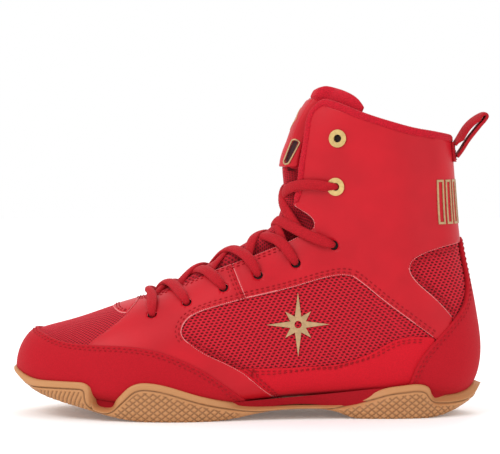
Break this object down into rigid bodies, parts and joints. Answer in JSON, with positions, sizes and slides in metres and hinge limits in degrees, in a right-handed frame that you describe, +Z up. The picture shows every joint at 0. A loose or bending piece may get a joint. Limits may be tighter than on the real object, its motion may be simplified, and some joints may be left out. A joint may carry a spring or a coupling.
{
  "type": "boxing boot",
  "caption": "High-top laced boxing boot: gum cup sole, mesh and leather upper, suede toe and heel guards, padded tongue, ankle eyelets and a heel pull tab.",
  "frame": {"origin": "on the ground under the ball of the foot, in the flat of the forefoot tread", "axes": "toe along -X, heel along +X, lateral (outer) side of this left boot along -Y, +Z up the shaft"},
  "size_m": [0.2905, 0.0984, 0.2016],
  "materials": {
    "gum_rubber": "satin gum rubber with moulded tread",
    "midsole_foam": "matt closed-cell foam",
    "filler_felt": "felt filler",
    "board": "woven board",
    "insole_cloth": "brushed cloth over foam",
    "lining": "knitted lining",
    "stiffener": "thermoplastic sheet",
    "padding": "open-cell foam",
    "mesh": "open air mesh",
    "leather": "smooth red leather, semi-gloss",
    "suede": "red microfibre suede, matt",
    "knit": "ribbed knit",
    "webbing": "woven webbing",
    "gold_film": "gold transfer film",
    "lace_cord": "braided flat-oval lace",
    "tip_plastic": "clear red lace tip",
    "eyelet_metal": "pale gold lacquered brass"
  },
  "bodies": {
    "boot": {"outsole": "gum_rubber", "midsole_wedge": "midsole_foam", "bottom_filler": "filler_felt", "strobel_board": "board", "lining_lateral": "lining", "lining_medial": "lining", "toe_puff": "stiffener", "heel_stiffener": "stiffener", "shaft_foam_lateral": "padding", "shaft_foam_medial": "padding", "vamp_mesh": "mesh", "side_mesh_lateral": "mesh", "side_mesh_medial": "mesh", "heel_mesh_lateral": "mesh", "heel_mesh_medial": "mesh", "forefoot_leather_lateral": "leather", "forefoot_leather_medial": "leather", "throat_base": "leather", "quarter_leather_lateral": "leather", "quarter_leather_medial": "leather", "midfoot_suede_lateral": "suede", "midfoot_suede_medial": "suede", "toe_guard": "suede", "heel_counter": "suede", "collar_binding": "knit", "tongue_lower": "mesh", "tab_root": "webbing", "side_star_lateral": "gold_film", "side_star_medial": "gold_film", "heel_bars": "gold_film", "lace": "lace_cord", "lace_tips": "tip_plastic", "eyelets_lateral": "eyelet_metal", "eyelets_medial": "eyelet_metal", "eyelet_washers_lateral": "eyelet_metal", "eyelet_washers_medial": "eyelet_metal"},
    "tongue": {"tongue_head": "knit", "tongue_patch": "leather", "keeper_rims": "gold_film"},
    "tab": {"pull_tab": "webbing"},
    "footbed": {"insole": "insole_cloth"}
  },
  "joints": [
    {"name": "tongue_tilt", "type": "hinge", "parent": "boot", "child": "tongue", "pos_m": [0.068, 0, 0.15], "axis": [0, 1, 0], "range_deg": [0, 12], "stiffness_Nm_per_rad": 0.15},
    {"name": "pull_tab_fold", "type": "hinge", "parent": "boot", "child": "tab", "pos_m": [0.1712, 0, 0.1649], "axis": [0, 1, 0], "range_deg": [-25, 95], "stiffness_Nm_per_rad": 0.01},
    {"name": "insole_lift", "type": "hinge", "parent": "boot", "child": "footbed", "pos_m": [-0.09, 0, 0.03], "axis": [0, -1, 0], "range_deg": [0, 8]}
  ]
}
